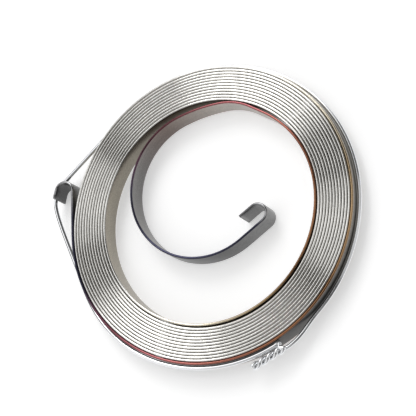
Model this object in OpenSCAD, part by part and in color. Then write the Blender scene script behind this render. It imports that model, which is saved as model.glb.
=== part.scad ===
// Recoil starter spring: one flat spring strip wound into a spiral, with a bent hook at each end,
// held closed for shipping by a binding wire that runs round the coil and over the outer hook.
// The coil lies flat on the floor, its axis on +Z at the origin. Sizes are in millimetres.

/* [Strip] */
// Width of the strip, which is the height of the lying coil
strip_width = 5; // [4.5:0.1:6]
// Thickness of the strip
strip_thickness = 0.6; // [0.5:0.02:0.66]
// Bevel that breaks the strip's four long edges
edge_bevel = 0.12; // [0.08:0.01:0.16]

/* [Coil] */
// Outside radius of the wound coil
coil_radius = 32; // [31:0.1:35]
// Tight turns in the coil
turns = 12; // [11:1:13]
// Air gap between one turn and the next
turn_gap = 0.04; // [0.03:0.01:0.08]

/* [Outer end] */
// Straight run from the coil to the outer hook
outer_leg = 10; // [9:0.1:11]
// Inside radius of the outer hook
outer_hook_inside = 1.75; // [1.5:0.05:2]
// Straight return past the outer hook's bend
outer_return = 1.9; // [1.5:0.1:2.5]

/* [Inner end] */
// How far the loose inner turn sags off the tight coil
slack = 0.4; // [0.3:0.02:0.6]
// How much tighter than the coil the loose turn is bent before the kink
lead_inset = 1.8; // [1.7:0.1:2.3]
// Bend radius of the kink where the arm leaves the coil
kink_radius = 13; // [12:0.1:14]
// Bend radius just past the kink
shoulder_radius = 34; // [32:0.5:36]
// Bend radius of the arm that sweeps across the middle
arm_radius = 15.9; // [15.2:0.1:16.4]
// Straight run from the arm to the inner hook
arm_straight = 5.9; // [5:0.1:6.5]
// Inside radius of the inner hook
inner_hook_inside = 1.7; // [1.4:0.05:1.9]
// Straight return past the inner hook's bend
inner_return = 3.3; // [2.5:0.1:4]

/* [Binding wire] */
// Diameter of the binding wire
wire_diameter = 0.9; // [0.8:0.02:1]
// Air gap between the wire and what it lies on
wire_clearance = 0.05; // [0.04:0.01:0.1]
// Angle round the coil where the wire comes back onto it below the outer hook
join_angle = 198; // [196:0.5:202]
// How far below the upper edge the wire lies at the pigtail
wire_inset = 1; // [0.8:0.05:1.6]
// Angle round the coil of the pigtail's root
root_angle = 296.5; // [290:0.5:298]
// Length of the twisted pigtail
pigtail_length = 7.6; // [6.5:0.1:8.5]
// Length of one full twist of the pigtail
pigtail_lead = 3.8; // [3.2:0.1:4.5]
// How far the pigtail leans out from the coil, in degrees
pigtail_lean = -2; // [-3:0.5:3]

/* [Hidden] */
$fn = 180;
// Spiral of half turns struck from two centres, a quarter pitch either side of the axis
quarter_pitch = round(250 * (strip_thickness + turn_gap)) / 1000;
pitch = 4 * quarter_pitch;
start_radius = coil_radius - strip_thickness / 2;
end_radius = start_radius - turns * pitch;
function half_turn_radius(k) = start_radius - quarter_pitch - k * pitch / 2;
// Bends to these slopes are 3-4-5 angles and their multiples, so each piece meets the next exactly
lead_turn = [0.5376, 0.8432];
kink_turn = [0.8432, 0.5376];
shoulder_turn = [0.96, 0.28];
flare_turn = [0.28, 0.96];
lead_heading = 90 + atan2(lead_turn[1], lead_turn[0]);
// The loose turn sags at the bottom and comes back on the right until it just clears the tight coil
sag_radius = end_radius - slack;
lead_radius = end_radius - lead_inset;
lead_room = lead_inset + quarter_pitch - pitch;
lead_shift = lead_inset - quarter_pitch - 2 * slack;
lead_across = (lead_shift + sqrt(2 * lead_room * lead_room - lead_shift * lead_shift)) / 2;
rise_radius = end_radius - sag_radius + lead_radius + quarter_pitch + lead_across;
lead_start = [sag_radius + rise_radius - end_radius, rise_radius - sag_radius];
// The straight lead runs until the kink just clears the tight coil
lead_end = lead_start + lead_radius * [lead_turn[0] - 1, lead_turn[1]];
kink_centre = lead_end + kink_radius * [cos(lead_heading + 90), sin(lead_heading + 90)]
    - [quarter_pitch, 0];
kink_reach = end_radius + quarter_pitch - strip_thickness - turn_gap - kink_radius;
kink_along = kink_centre * [cos(lead_heading), sin(lead_heading)];
kink_across = kink_centre * kink_centre - kink_along * kink_along;
lead_straight = sqrt(kink_reach * kink_reach - kink_across) - kink_along;
outer_hook_radius = outer_hook_inside + strip_thickness / 2;
inner_hook_radius = inner_hook_inside + strip_thickness / 2;
// Each step reaches this far into the one before it, so the strip is one solid at any size
step_lap = 0.00000005;
// Every bend turns left as the strip is followed
inner_run = [
    ["quarter", sag_radius],
    ["quarter", rise_radius],
    ["turn", lead_radius, lead_turn],
    ["line", lead_straight],
    ["turn", kink_radius, kink_turn],
    ["turn", shoulder_radius, shoulder_turn],
    ["half", arm_radius],
    ["turn", arm_radius, shoulder_turn],
    ["line", arm_straight],
    ["half", inner_hook_radius],
    ["line", inner_return]
];
outer_run = [
    ["line", outer_leg],
    ["quarter", outer_hook_radius],
    ["turn", outer_hook_radius, flare_turn],
    ["line", outer_return]
];

// Strip section: a flat rectangle with its four edges broken
module strip_section() {
    half = strip_thickness / 2;
    polygon([
        [-half + edge_bevel, 0],
        [half - edge_bevel, 0],
        [half, edge_bevel],
        [half, strip_width - edge_bevel],
        [half - edge_bevel, strip_width],
        [-half + edge_bevel, strip_width],
        [-half, strip_width - edge_bevel],
        [-half, edge_bevel]
    ]);
}

module strip_arc(radius, sweep) {
    rotate_extrude(angle = sweep) translate([radius, 0]) strip_section();
}

module turned(slope) {
    multmatrix([[slope[0], -slope[1], 0, 0], [slope[1], slope[0], 0, 0], [0, 0, 1, 0], [0, 0, 0, 1]])
        children();
}

// One step of the strip, starting at the origin and heading along +X
module strip_step(step) {
    if (step[0] == "line") {
        rotate([90, 0, 90]) linear_extrude(step[1]) strip_section();
    } else if (step[0] == "half") {
        translate([0, step[1], 0]) rotate(-90) strip_arc(step[1], 180);
    } else if (step[0] == "quarter") {
        translate([0, step[1], 0]) rotate(-90) strip_arc(step[1], 90);
    } else {
        translate([0, step[1], 0]) rotate(-90) difference() {
            strip_arc(step[1], 90);
            turned(step[2]) translate([0, 0, -1])
                cube([2 * step[1], 2 * step[1], strip_width + 2]);
        }
    }
}

// Where the step ends
module past(step) {
    if (step[0] == "line") {
        translate([step[1], 0, 0]) children();
    } else if (step[0] == "half") {
        translate([0, step[1], 0]) rotate(180) translate([0, -step[1], 0]) children();
    } else if (step[0] == "quarter") {
        translate([0, step[1], 0]) rotate(90) translate([0, -step[1], 0]) children();
    } else {
        translate([0, step[1], 0]) turned(step[2]) translate([0, -step[1], 0]) children();
    }
}

module strip_run(steps, i = 0) {
    translate([-step_lap, 0, 0]) {
        strip_step(steps[i]);
        if (i < len(steps) - 1) past(steps[i]) strip_run(steps, i + 1);
    }
}

module tight_coil() {
    for (k = [0 : 2 : 2 * turns - 2]) {
        translate([-quarter_pitch, step_lap, 0]) rotate(180) strip_arc(half_turn_radius(k), 180);
        translate([quarter_pitch, 0, 0]) strip_arc(half_turn_radius(k + 1), 180);
    }
}

module spring_strip() {
    color("#5a5f6a") {
        tight_coil();
        translate([-end_radius, 0, 0]) rotate(-90) strip_run(inner_run);
        translate([-start_radius, 0, 0]) rotate(90) strip_run(outer_run);
    }
}

// Binding wire: a round wire swept along one path from end to end
wire_sides = 12;
wire_radius = wire_diameter / 2;
lay = strip_thickness / 2 + wire_clearance + wire_radius;
mid = strip_width / 2;
front = strip_width - wire_inset;
strand_offset = wire_radius + 0.04;
pigtail_level = front - strand_offset;
lower_centre = [-quarter_pitch, 0];
upper_centre = [quarter_pitch, 0];
lower_lay = half_turn_radius(0) + lay;
upper_lay = half_turn_radius(1) + lay;
hook_centre = [-start_radius - outer_hook_radius, outer_leg];
hook_lay = outer_hook_radius + lay;
function heading(a) = [cos(a), sin(a)];
function at(p, z) = [p[0], p[1], z];
function ease(x) = let (c = min(max(x, 0), 1)) c * c * (3 - 2 * c);
function steps_between(a, b, n) = [for (i = [0 : n]) a + (b - a) * i / n];
// A smooth curve from p to q that leaves along u and arrives along v
function curve(p, u, q, v, s) = p * (1 + s * s * (2 * s - 3)) + u * s * (1 - s) * (1 - s)
    + q * s * s * (3 - 2 * s) + v * s * s * (s - 1);
// Straight from the coil to the outer hook, tangent to both
to_hook = hook_centre - upper_centre;
tangent_angle = atan2(to_hook[1], to_hook[0]) - acos((upper_lay - hook_lay) / norm(to_hook));
// Pigtail: both strands wind about one line beside the coil
strand_space = wire_diameter + 2 * wire_clearance;
root_lift = strand_offset + sqrt(strand_space * strand_space - strand_offset * strand_offset);
root = lower_centre + (lower_lay + root_lift) * heading(root_angle);
pigtail_heading = heading(root_angle - 90 + pigtail_lean);
pigtail_out = heading(root_angle + pigtail_lean);
function strand(s, phase) = let (turn = 360 * s / pigtail_lead + phase)
    at(root + s * pigtail_heading + strand_offset * sin(turn) * pigtail_out,
        pigtail_level + strand_offset * cos(turn));
strand_steps = steps_between(0, pigtail_length, 30);
// The far strand comes in a straight line off the coil
leave_coil = root_angle + acos(lower_lay / (lower_lay + root_lift));
leave_point = lower_centre + lower_lay * heading(leave_coil);
bridge_pull = 1.2 * norm(root - leave_point);
join_point = lower_centre + lower_lay * heading(join_angle);
hook_bend = 90 + atan2(flare_turn[1], flare_turn[0]);
return_end = hook_centre + hook_lay * heading(hook_bend) + outer_return * heading(hook_bend + 90);
fall_pull = norm(join_point - return_end);
wire_path = concat(
    [for (i = [30 : -1 : 1]) strand(strand_steps[i], 180)],
    [for (s = steps_between(0, 1, 8))
        at(curve(root, -bridge_pull * pigtail_heading, leave_point,
            bridge_pull * heading(leave_coil + 90), s),
            mid + (pigtail_level - strand_offset - mid) * (1 - ease(s)))],
    [for (a = steps_between(leave_coil + 5, 360, 8)) at(lower_centre + lower_lay * heading(a), mid)],
    [for (a = steps_between(6, tangent_angle, 21)) at(upper_centre + upper_lay * heading(a), mid)],
    [for (a = steps_between(tangent_angle, hook_bend, 7)) at(hook_centre + hook_lay * heading(a), mid)],
    [for (s = steps_between(0, 1, 14))
        at(curve(return_end, 0.4 * fall_pull * heading(hook_bend + 90), join_point,
            fall_pull * heading(join_angle + 90), s), mid)],
    [for (a = steps_between(join_angle + 5, root_angle, 20))
        at(lower_centre + lower_lay * heading(a), mid + (front - mid) * ease((a - join_angle) / 45))],
    [for (b = steps_between(15, 165, 10))
        at(lower_centre + (lower_lay + root_lift / 2) * heading(root_angle)
            + root_lift / 2 * heading(root_angle + 180 + b), front)],
    [for (i = [0 : 30]) strand(strand_steps[i], 0)]
);

function unit(v) = v / norm(v);
function path_direction(i) = unit(wire_path[min(i + 1, len(wire_path) - 1)] - wire_path[max(i - 1, 0)]);
function ring(i) = let (d = path_direction(i), side = unit(cross(d, [0, 0, 1])), up = cross(side, d))
    [for (j = [0 : wire_sides - 1]) let (a = 360 * j / wire_sides)
        wire_path[i] + wire_radius * (cos(a) * side + sin(a) * up)];

module binding_wire() {
    rings = len(wire_path);
    color("#c9ccd2") polyhedron(
        points = [for (i = [0 : rings - 1]) each ring(i)],
        faces = concat(
            [[for (j = [wire_sides - 1 : -1 : 0]) j]],
            [for (i = [0 : rings - 2], j = [0 : wire_sides - 1]) let (n = (j + 1) % wire_sides)
                [i * wire_sides + j, i * wire_sides + n, (i + 1) * wire_sides + n, (i + 1) * wire_sides + j]],
            [[for (j = [0 : wire_sides - 1]) (rings - 1) * wire_sides + j]]
        )
    );
}

spring_strip();
binding_wire();
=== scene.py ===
import math

import bpy
from mathutils import Matrix, Vector


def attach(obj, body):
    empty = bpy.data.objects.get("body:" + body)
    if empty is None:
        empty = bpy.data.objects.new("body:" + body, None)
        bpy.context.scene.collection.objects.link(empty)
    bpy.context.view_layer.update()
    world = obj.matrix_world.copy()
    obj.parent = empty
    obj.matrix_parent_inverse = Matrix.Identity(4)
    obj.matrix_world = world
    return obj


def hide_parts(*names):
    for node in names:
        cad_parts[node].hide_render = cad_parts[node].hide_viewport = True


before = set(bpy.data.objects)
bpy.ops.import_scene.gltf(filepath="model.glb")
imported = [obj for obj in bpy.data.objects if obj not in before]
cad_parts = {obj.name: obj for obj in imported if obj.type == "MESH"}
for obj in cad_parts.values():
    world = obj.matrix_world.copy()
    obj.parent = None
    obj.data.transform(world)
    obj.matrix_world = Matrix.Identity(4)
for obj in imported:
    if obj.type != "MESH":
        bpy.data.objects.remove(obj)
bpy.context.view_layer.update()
MM = 0.001

# Sizes of the spring, in millimetres
strip_width = 5.0
strip_thickness = 0.6
edge_round = 0.25
seam = 0.03
coil_radius = 32.0
turns = 12
turn_gap = 0.04
outer_leg = 10.0
outer_hook_radius = 1.75 + strip_thickness / 2
outer_return = 1.9
slack = 0.4
lead_inset = 1.8
kink_radius = 13.0
shoulder_radius = 34.0
arm_radius = 15.9
arm_straight = 5.9
inner_hook_radius = 1.7 + strip_thickness / 2
inner_return = 3.3
wire_radius = 0.45
wire_clearance = 0.05
strand_gap = 0.08
join_angle = 198.0
wire_inset = 1.0
root_angle = 296.5
pigtail_length = 7.6
pigtail_lead = 3.8
pigtail_lean = -2.0

# Spiral of half turns struck from two centres
quarter_pitch = (strip_thickness + turn_gap) / 4
pitch = 4 * quarter_pitch
start_radius = coil_radius - strip_thickness / 2
end_radius = start_radius - turns * pitch
lead_turn = math.degrees(math.atan2(0.8432, 0.5376))
kink_turn = math.degrees(math.atan2(0.5376, 0.8432))
shoulder_turn = math.degrees(math.atan2(0.28, 0.96))
hook_bend = 90 + math.degrees(math.atan2(0.96, 0.28))
# The loose turn sags at the bottom and comes back on the right until it just clears the tight coil
sag_radius = end_radius - slack
lead_radius = end_radius - lead_inset
lead_room = lead_inset + quarter_pitch - pitch
lead_shift = lead_inset - quarter_pitch - 2 * slack
lead_across = (lead_shift + math.sqrt(2 * lead_room * lead_room - lead_shift * lead_shift)) / 2
rise_radius = end_radius - sag_radius + lead_radius + quarter_pitch + lead_across


def half_turn_radius(k):
    return start_radius - quarter_pitch - k * pitch / 2


def heading(angle):
    return Vector((math.cos(math.radians(angle)), math.sin(math.radians(angle))))


def lead_length():
    """The straight lead runs until the kink just clears the tight coil."""
    lead_end = Vector((sag_radius + rise_radius - end_radius - lead_radius, rise_radius - sag_radius))
    lead_end = lead_end + lead_radius * heading(lead_turn)
    kink = lead_end + kink_radius * heading(lead_turn + 180) - Vector((quarter_pitch, 0))
    reach = end_radius + quarter_pitch - strip_thickness - turn_gap - kink_radius
    along = kink.dot(heading(lead_turn + 90))
    return math.sqrt(along * along - kink.dot(kink) + reach * reach) - along


# The strip from the outer tip to the inner tip: radius and turn of each bend, or length of each straight
strip_steps = [
    ("line", outer_return),
    ("bend", outer_hook_radius, -hook_bend),
    ("line", outer_leg),
]
strip_steps += [("bend", half_turn_radius(k), 180) for k in range(2 * turns)]
strip_steps += [
    ("bend", sag_radius, 90),
    ("bend", rise_radius, 90),
    ("bend", lead_radius, lead_turn),
    ("line", lead_length()),
    ("bend", kink_radius, kink_turn),
    ("bend", shoulder_radius, shoulder_turn),
    ("bend", arm_radius, 180 + shoulder_turn),
    ("line", arm_straight),
    ("bend", inner_hook_radius, 180),
    ("line", inner_return),
]


def strip_stations():
    """Places along the strip's middle: x, y, heading and distance from the outer tip."""
    place = Vector((-start_radius - outer_hook_radius, outer_leg))
    place = place + outer_hook_radius * heading(hook_bend) + outer_return * heading(hook_bend + 90)
    angle = hook_bend - 90
    travelled = 0.0
    stations = [(place.copy(), angle, travelled)]
    for step in strip_steps:
        if step[0] == "line":
            count = max(2, round(step[1] / 0.8))
            for i in range(1, count + 1):
                far = step[1] * i / count
                stations.append((place + far * heading(angle), angle, travelled + far))
            place = place + step[1] * heading(angle)
            travelled += step[1]
        else:
            radius, turn = step[1], step[2]
            side = 1 if turn > 0 else -1
            centre = place + side * radius * heading(angle + 90)
            count = max(4, round(abs(turn) / (2.5 if radius > 10 else 9)))
            for i in range(1, count + 1):
                now = angle + turn * i / count
                far = radius * math.radians(abs(turn) * i / count)
                stations.append((centre - side * radius * heading(now + 90), now, travelled + far))
            place = stations[-1][0].copy()
            angle += turn
            travelled += radius * math.radians(abs(turn))
    return stations, travelled


def strip_section(points):
    """Points round the strip's section, with its four long edges rounded: across and height."""
    half = strip_thickness / 2 - seam
    ring = []
    for x, z, first in ((1, 1, 0), (-1, 1, 90), (-1, -1, 180), (1, -1, 270)):
        for i in range(points + 1):
            a = math.radians(first + 90 * i / points)
            ring.append((x * (half - edge_round) + edge_round * math.cos(a),
                         strip_width / 2 + z * (strip_width / 2 - edge_round) + edge_round * math.sin(a)))
    return ring


def swept(name, rings):
    """A closed mesh skinned over a list of rings of the same length."""
    count = len(rings[0])
    points = [p for ring in rings for p in ring]
    faces = []
    for i in range(len(rings) - 1):
        for j in range(count):
            n = (j + 1) % count
            faces.append((i * count + j, i * count + n, (i + 1) * count + n, (i + 1) * count + j))
    faces.append(tuple(reversed(range(count))))
    faces.append(tuple(range((len(rings) - 1) * count, len(rings) * count)))
    mesh = bpy.data.meshes.new(name)
    mesh.from_pydata(points, [], faces)
    mesh.validate()
    for face in mesh.polygons:
        face.use_smooth = len(face.vertices) == 4
    piece = bpy.data.objects.new(name, mesh)
    bpy.context.scene.collection.objects.link(piece)
    return piece


# Strip
stations, strip_length = strip_stations()
section = strip_section(4)
strip_rings = []
for place, angle, travelled in stations:
    left = heading(angle + 90)
    strip_rings.append([((place + x * left).x * MM, (place + x * left).y * MM, z * MM) for x, z in section])
strip = swept("strip", strip_rings)
along = strip.data.attributes.new("along", "FLOAT", "POINT")
across = strip.data.attributes.new("across", "FLOAT", "POINT")
for i, (place, angle, travelled) in enumerate(stations):
    for j, (x, z) in enumerate(section):
        along.data[i * len(section) + j].value = travelled
        across.data[i * len(section) + j].value = z
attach(strip, "root")
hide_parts("spring_strip")

# Binding wire
lay = strip_thickness / 2 + wire_clearance + wire_radius
mid = strip_width / 2
front = strip_width - wire_inset
strand_offset = wire_radius + strand_gap / 2
pigtail_level = front - strand_offset
lower_centre = Vector((-quarter_pitch, 0))
upper_centre = Vector((quarter_pitch, 0))
lower_lay = half_turn_radius(0) + lay
upper_lay = half_turn_radius(1) + lay
hook_centre = Vector((-start_radius - outer_hook_radius, outer_leg))
hook_lay = outer_hook_radius + lay


def ease(x):
    c = min(max(x, 0), 1)
    return c * c * (3 - 2 * c)


def steps_between(a, b, n):
    return [a + (b - a) * i / n for i in range(n + 1)]


def curve(p, u, q, v, s):
    """A smooth curve from p to q that leaves along u and arrives along v."""
    return (p * (1 + s * s * (2 * s - 3)) + u * (s * (1 - s) ** 2)
            + q * (s * s * (3 - 2 * s)) + v * (s * s * (s - 1)))


def at(p, z):
    return Vector((p.x, p.y, z))


def strand(s, phase):
    turn = math.radians(360 * s / pigtail_lead + phase)
    return at(root + s * pigtail_heading + strand_offset * math.sin(turn) * pigtail_out,
              pigtail_level + strand_offset * math.cos(turn))


to_hook = hook_centre - upper_centre
tangent_angle = math.degrees(math.atan2(to_hook.y, to_hook.x)
                             - math.acos((upper_lay - hook_lay) / to_hook.length))
root_lift = strand_offset + math.sqrt((2 * wire_radius + 2 * wire_clearance) ** 2 - strand_offset ** 2)
root = lower_centre + (lower_lay + root_lift) * heading(root_angle)
pigtail_heading = heading(root_angle - 90 + pigtail_lean)
pigtail_out = heading(root_angle + pigtail_lean)
leave_coil = root_angle + math.degrees(math.acos(lower_lay / (lower_lay + root_lift)))
leave_point = lower_centre + lower_lay * heading(leave_coil)
bridge_pull = 1.2 * (root - leave_point).length
join_point = lower_centre + lower_lay * heading(join_angle)
return_end = hook_centre + hook_lay * heading(hook_bend) + outer_return * heading(hook_bend + 90)
fall_pull = (join_point - return_end).length
strand_steps = steps_between(0, pigtail_length, 60)
wire_path = [strand(s, 180) for s in reversed(strand_steps[1:])]
wire_path += [at(curve(root, -bridge_pull * pigtail_heading, leave_point,
                       bridge_pull * heading(leave_coil + 90), s),
                 mid + (pigtail_level - strand_offset - mid) * (1 - ease(s)))
              for s in steps_between(0, 1, 16)]
wire_path += [at(lower_centre + lower_lay * heading(a), mid)
              for a in steps_between(leave_coil + 2.5, 360, 18)]
wire_path += [at(upper_centre + upper_lay * heading(a), mid)
              for a in steps_between(2.5, tangent_angle, 48)]
wire_path += [at(hook_centre + hook_lay * heading(a), mid)
              for a in steps_between(tangent_angle, hook_bend, 14)]
wire_path += [at(curve(return_end, 0.4 * fall_pull * heading(hook_bend + 90), join_point,
                       fall_pull * heading(join_angle + 90), s), mid) for s in steps_between(0, 1, 28)]
wire_path += [at(lower_centre + lower_lay * heading(a),
                 mid + (front - mid) * ease((a - join_angle) / 45))
              for a in steps_between(join_angle + 2.5, root_angle, 40)]
wire_path += [at(lower_centre + (lower_lay + root_lift / 2) * heading(root_angle)
                 + root_lift / 2 * heading(root_angle + 180 + b), front)
              for b in steps_between(10, 170, 16)]
wire_path += [strand(s, 0) for s in strand_steps]


def wire_ring(i, sides):
    before = wire_path[max(i - 1, 0)]
    after = wire_path[min(i + 1, len(wire_path) - 1)]
    ahead = (after - before).normalized()
    side = ahead.cross(Vector((0, 0, 1))).normalized()
    up = side.cross(ahead)
    ring = []
    for j in range(sides):
        a = 2 * math.pi * j / sides
        ring.append(tuple((wire_path[i] + wire_radius * (math.cos(a) * side + math.sin(a) * up)) * MM))
    return ring


wire = swept("wire", [wire_ring(i, 20) for i in range(len(wire_path))])
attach(wire, "root")
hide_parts("binding_wire")


# Materials
def new_material(name):
    material = bpy.data.materials.new(name)
    material.use_nodes = True
    return material, material.node_tree.nodes, material.node_tree.links


def ramp(nodes, stops, name):
    node = nodes.new("ShaderNodeValToRGB")
    node.label = name
    elements = node.color_ramp.elements
    while len(elements) > 1:
        elements.remove(elements[-1])
    elements[0].position, elements[0].color = stops[0][0], (*stops[0][1], 1)
    for place, colour in stops[1:]:
        element = elements.new(place)
        element.color = (*colour, 1)
    return node


silver = (0.78, 0.77, 0.74)
straw = (0.68, 0.62, 0.50)
tan = (0.42, 0.31, 0.18)
brown = (0.30, 0.165, 0.08)
copper = (0.33, 0.15, 0.08)
red = (0.32, 0.12, 0.09)
crimson = (0.26, 0.09, 0.095)
wine = (0.13, 0.05, 0.06)
purple = (0.11, 0.05, 0.075)
navy = (0.05, 0.05, 0.08)
oxide = (0.34, 0.34, 0.345)
dull = (0.2, 0.2, 0.205)
plain_flat = (0.36, 0.33, 0.275)
# Painted shade: the flats of the outer wall are darkened to stand for the shade on that side of the coil
painted_shade_flat = (0.10, 0.098, 0.095)
# Painted light: a lighter patch on the outer wall, about 120 mm from the outer tip, that lifts the shade
# there
painted_light_flat = (0.30, 0.28, 0.25)
hook_flat = (0.125, 0.125, 0.125)
tip_flat = (0.23, 0.23, 0.23)
arm_flat = (0.225, 0.22, 0.215)
shaded_flat = (0.12, 0.12, 0.12)
pink_flat = (0.185, 0.148, 0.132)
kink_flat = (0.43, 0.395, 0.36)
tint_reach = 200.0
# Colours by the distance in millimetres from a tip of the strip
outer_edges = [
    (0, oxide), (9, oxide), (14, navy), (30, navy), (36, purple), (42, wine), (54, crimson),
    (68, red), (82, copper), (98, brown), (121, tan), (135, straw), (150, silver),
]
inner_edges = [
    (0, dull), (4, dull), (6, oxide), (8, oxide), (11, navy), (50, navy), (58, purple), (66, wine),
    (78, crimson), (88, crimson), (97, red), (109, copper), (129, brown), (139, tan), (152, straw),
    (172, silver),
]
# On the outer wall the flats carry painted shade from 24 to 90 mm and painted light around 120 mm, then
# fade into the plain colour
outer_flats = [
    (0, hook_flat), (14, hook_flat), (24, painted_shade_flat), (90, painted_shade_flat), (120, painted_light_flat),
    (200, plain_flat),
]
inner_flats = [
    (0, tip_flat), (12, tip_flat), (20, shaded_flat), (28, shaded_flat), (36, arm_flat),
    (54, arm_flat), (66, pink_flat), (80, kink_flat), (110, kink_flat), (150, plain_flat),
]

steel, nodes, links = new_material("spring_steel")
shader = nodes["Principled BSDF"]
shader.inputs["Metallic"].default_value = 1.0
reading = nodes.new("ShaderNodeAttribute")
reading.attribute_name = "along"
from_outer = nodes.new("ShaderNodeMath")
from_outer.operation = "DIVIDE"
from_outer.inputs[1].default_value = tint_reach
links.new(reading.outputs["Fac"], from_outer.inputs[0])
from_inner = nodes.new("ShaderNodeMath")
from_inner.operation = "MULTIPLY_ADD"
from_inner.inputs[1].default_value = -1 / tint_reach
from_inner.inputs[2].default_value = strip_length / tint_reach
links.new(reading.outputs["Fac"], from_inner.inputs[0])
near_inner = nodes.new("ShaderNodeMath")
near_inner.operation = "LESS_THAN"
near_inner.inputs[1].default_value = 1.0
links.new(from_inner.outputs[0], near_inner.inputs[0])


def mixed(factor, first, second, name):
    node = nodes.new("ShaderNodeMix")
    node.data_type = "RGBA"
    node.label = name
    links.new(factor, node.inputs["Factor"])
    links.new(first, node.inputs["A"])
    links.new(second, node.inputs["B"])
    return node.outputs["Result"]


def by_distance(outer_stops, inner_stops, name):
    """A colour read by the distance from the nearer tip of the strip."""
    outer_ramp = ramp(nodes, [(d / tint_reach, c) for d, c in outer_stops], "outer " + name)
    inner_ramp = ramp(nodes, [(d / tint_reach, c) for d, c in inner_stops], "inner " + name)
    links.new(from_outer.outputs[0], outer_ramp.inputs[0])
    links.new(from_inner.outputs[0], inner_ramp.inputs[0])
    return mixed(near_inner.outputs[0], outer_ramp.outputs["Color"], inner_ramp.outputs["Color"], name)


# The long edges carry the temper colours, and the flats stay greyer, with painted shade and painted light
# on the outer wall
reading_across = nodes.new("ShaderNodeAttribute")
reading_across.attribute_name = "across"
off_middle = nodes.new("ShaderNodeMath")
off_middle.operation = "SUBTRACT"
off_middle.inputs[1].default_value = strip_width / 2
links.new(reading_across.outputs["Fac"], off_middle.inputs[0])
from_middle = nodes.new("ShaderNodeMath")
from_middle.operation = "ABSOLUTE"
links.new(off_middle.outputs[0], from_middle.inputs[0])
on_edge = nodes.new("ShaderNodeMapRange")
on_edge.inputs["From Min"].default_value = strip_width / 2 - edge_round
on_edge.inputs["From Max"].default_value = strip_width / 2 - 0.4 * edge_round
links.new(from_middle.outputs[0], on_edge.inputs["Value"])
tint = mixed(on_edge.outputs["Result"], by_distance(outer_flats, inner_flats, "flats"),
             by_distance(outer_edges, inner_edges, "edges"), "flats and edges")

# Fine rolling marks along the strip
grain_place = nodes.new("ShaderNodeCombineXYZ")
scaled_along = nodes.new("ShaderNodeMath")
scaled_along.operation = "MULTIPLY"
scaled_along.inputs[1].default_value = 0.05
scaled_across = nodes.new("ShaderNodeMath")
scaled_across.operation = "MULTIPLY"
scaled_across.inputs[1].default_value = 6.0
links.new(reading.outputs["Fac"], scaled_along.inputs[0])
links.new(reading_across.outputs["Fac"], scaled_across.inputs[0])
links.new(scaled_along.outputs[0], grain_place.inputs[0])
links.new(scaled_across.outputs[0], grain_place.inputs[1])
grain = nodes.new("ShaderNodeTexNoise")
grain.inputs["Scale"].default_value = 2.0
grain.inputs["Detail"].default_value = 5.0
links.new(grain_place.outputs[0], grain.inputs["Vector"])
speckle = nodes.new("ShaderNodeTexNoise")
speckle.inputs["Scale"].default_value = 3500.0
speckle.inputs["Detail"].default_value = 2.0
speckle_place = nodes.new("ShaderNodeTexCoord")
links.new(speckle_place.outputs["Object"], speckle.inputs["Vector"])
rolled = nodes.new("ShaderNodeMath")
rolled.operation = "ADD"
links.new(grain.outputs["Fac"], rolled.inputs[0])
links.new(speckle.outputs["Fac"], rolled.inputs[1])
tone = nodes.new("ShaderNodeMapRange")
tone.inputs["From Min"].default_value = 0.6
tone.inputs["From Max"].default_value = 1.4
tone.inputs["To Min"].default_value = 0.7
tone.inputs["To Max"].default_value = 1.3
links.new(rolled.outputs[0], tone.inputs["Value"])
toned = nodes.new("ShaderNodeMix")
toned.data_type = "RGBA"
toned.blend_type = "MULTIPLY"
toned.inputs["Factor"].default_value = 1.0
links.new(tint, toned.inputs["A"])
links.new(tone.outputs["Result"], toned.inputs["B"])
links.new(toned.outputs["Result"], shader.inputs["Base Color"])
flat_gloss = nodes.new("ShaderNodeMapRange")
flat_gloss.inputs["To Min"].default_value = 0.22
flat_gloss.inputs["To Max"].default_value = 0.4
links.new(grain.outputs["Fac"], flat_gloss.inputs["Value"])
gloss = nodes.new("ShaderNodeMix")
gloss.inputs["B"].default_value = 0.12
links.new(on_edge.outputs["Result"], gloss.inputs["Factor"])
links.new(flat_gloss.outputs["Result"], gloss.inputs["A"])
links.new(gloss.outputs["Result"], shader.inputs["Roughness"])
strip.data.materials.append(steel)

bright, nodes, links = new_material("tie_wire")
shader = nodes["Principled BSDF"]
shader.inputs["Metallic"].default_value = 1.0
drawn = nodes.new("ShaderNodeTexNoise")
drawn.inputs["Scale"].default_value = 900.0
drawn.inputs["Detail"].default_value = 4.0
wire_tone = ramp(nodes, [(0.3, (0.74, 0.75, 0.77)), (0.7, (0.90, 0.91, 0.92))], "drawn wire")
links.new(drawn.outputs["Fac"], wire_tone.inputs[0])
links.new(wire_tone.outputs["Color"], shader.inputs["Base Color"])
wire_gloss = nodes.new("ShaderNodeMapRange")
wire_gloss.inputs["To Min"].default_value = 0.04
wire_gloss.inputs["To Max"].default_value = 0.12
links.new(drawn.outputs["Fac"], wire_gloss.inputs["Value"])
links.new(wire_gloss.outputs["Result"], shader.inputs["Roughness"])
wire.data.materials.append(bright)

# Floor
floor_mesh = bpy.data.meshes.new("floor")
floor_mesh.from_pydata([(-3, -3, 0), (3, -3, 0), (3, 3, 0), (-3, 3, 0)], [], [(0, 1, 2, 3)])
floor = bpy.data.objects.new("floor", floor_mesh)
bpy.context.scene.collection.objects.link(floor)
floor_material, nodes, links = new_material("floor")
paper = nodes["Principled BSDF"]
paper.inputs["Base Color"].default_value = (0.86, 0.86, 0.86, 1)
paper.inputs["Roughness"].default_value = 0.8
paper.inputs["Emission Color"].default_value = (1, 1, 1, 1)
ray = nodes.new("ShaderNodeLightPath")
seen = nodes.new("ShaderNodeMath")
seen.operation = "MAXIMUM"
links.new(ray.outputs["Is Camera Ray"], seen.inputs[0])
links.new(ray.outputs["Is Glossy Ray"], seen.inputs[1])
lift = nodes.new("ShaderNodeMath")
lift.operation = "MULTIPLY"
lift.inputs[1].default_value = 0.42
links.new(seen.outputs[0], lift.inputs[0])
links.new(lift.outputs[0], paper.inputs["Emission Strength"])
floor_mesh.materials.append(floor_material)

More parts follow.
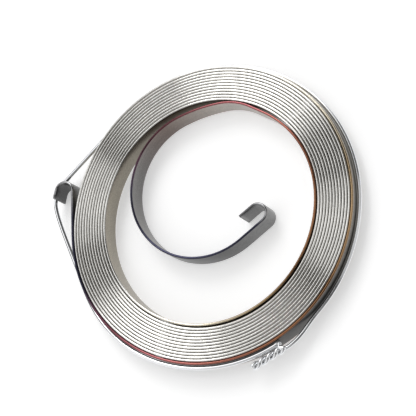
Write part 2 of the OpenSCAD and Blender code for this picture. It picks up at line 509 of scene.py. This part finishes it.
# Light: each panel of the tent by its angle in degrees and its brightness
fan_start = 6.0
fan_x = 0.39
fan_y = -0.293
fan = [
    (0, 0.54), (6, 0.50), (9, 0.46), (12, 0.13), (32, 0.15), (41, 0.82), (50, 1.0), (62, 1.04),
    (84, 0.96), (96, 0.74), (108, 0.58), (120, 0.46), (132, 0.36), (146, 0.10), (151, 0.11),
    (155, 0.48), (164, 0.56), (174, 0.70), (180, 0.58),
]
world = bpy.data.worlds.new("studio")
world.use_nodes = True
nodes, links = world.node_tree.nodes, world.node_tree.links
sky_place = nodes.new("ShaderNodeTexCoord")
sky_way = nodes.new("ShaderNodeSeparateXYZ")
links.new(sky_place.outputs["Generated"], sky_way.inputs[0])


def sky_sum(operation, first, second):
    node = nodes.new("ShaderNodeMath")
    node.operation = operation
    for socket, value in zip(node.inputs, (first, second)):
        if isinstance(value, (int, float)):
            socket.default_value = value
        else:
            links.new(value, socket)
    return node.outputs[0]


# Panels of the tent fan out from the point that the flat edges mirror
off_x = sky_sum("ADD", sky_way.outputs["X"], fan_x)
off_y = sky_sum("ADD", sky_way.outputs["Y"], fan_y)
fan_angle = sky_sum("ARCTAN2", off_y, off_x)
fan_turn = sky_sum("FRACT", sky_sum("ADD", sky_sum("DIVIDE", fan_angle, math.pi), 1 + fan_start / 180), 0)
panels = ramp(nodes, [(d / 180, (v, v, v)) for d, v in fan], "tent panels")
links.new(fan_turn, panels.inputs[0])
off_squared = sky_sum("ADD", sky_sum("MULTIPLY", off_x, off_x), sky_sum("MULTIPLY", off_y, off_y))
fan_reach = sky_sum("SQRT", off_squared, 0)
hub = nodes.new("ShaderNodeMapRange")
hub.inputs["From Min"].default_value = 0.18
hub.inputs["From Max"].default_value = 0.36
links.new(fan_reach, hub.inputs["Value"])
tent = nodes.new("ShaderNodeMix")
tent.data_type = "RGBA"
tent.inputs["A"].default_value = (1.6, 1.6, 1.6, 1)
links.new(hub.outputs["Result"], tent.inputs["Factor"])
links.new(panels.outputs["Color"], tent.inputs["B"])
links.new(tent.outputs["Result"], nodes["Background"].inputs["Color"])
bpy.context.scene.world = world


def softbox(name, place, size, power):
    light = bpy.data.lights.new(name, "AREA")
    light.shape = "RECTANGLE"
    light.size, light.size_y = size
    light.energy = power
    lamp = bpy.data.objects.new(name, light)
    lamp.location = place
    lamp.rotation_euler = (-Vector(place)).to_track_quat("-Z", "Y").to_euler()
    bpy.context.scene.collection.objects.link(lamp)


softbox("key", (-0.153, 0.474, 0.492), (0.3, 0.3), 1.0)

# Camera, looking down on the lying coil from the photo's side
tilt = math.radians(29.23)
roll = math.radians(-30.95)
turned = roll - math.radians(6)
pixel = 0.205 * MM
picture_side = 416
camera_reach = 1492.5
aside = 1.16
above = 2.9
flat_a = Vector((math.cos(turned), math.sin(turned), 0))
flat_b = Vector((-math.sin(turned), math.cos(turned), 0))
toward = math.sin(tilt) * flat_a + math.cos(tilt) * Vector((0, 0, 1))
lean_a = math.cos(tilt) * flat_a - math.sin(tilt) * Vector((0, 0, 1))
image_x = math.cos(roll) * lean_a - math.sin(roll) * flat_b
image_y = math.sin(roll) * lean_a + math.cos(roll) * flat_b
middle = Vector((0, 0, strip_width * MM))
place = middle + camera_reach * pixel * toward + aside * pixel * image_x + above * pixel * image_y
lens = bpy.data.cameras.new("camera")
lens.sensor_width = 36
lens.lens = lens.sensor_width * camera_reach / picture_side
lens.clip_start = 0.01
camera = bpy.data.objects.new("camera", lens)
camera.matrix_world = Matrix((
    (image_x.x, image_y.x, toward.x, place.x),
    (image_x.y, image_y.y, toward.y, place.y),
    (image_x.z, image_y.z, toward.z, place.z),
    (0, 0, 0, 1),
))
bpy.context.scene.collection.objects.link(camera)
bpy.context.scene.camera = camera
bpy.context.scene.view_settings.view_transform = "Standard"
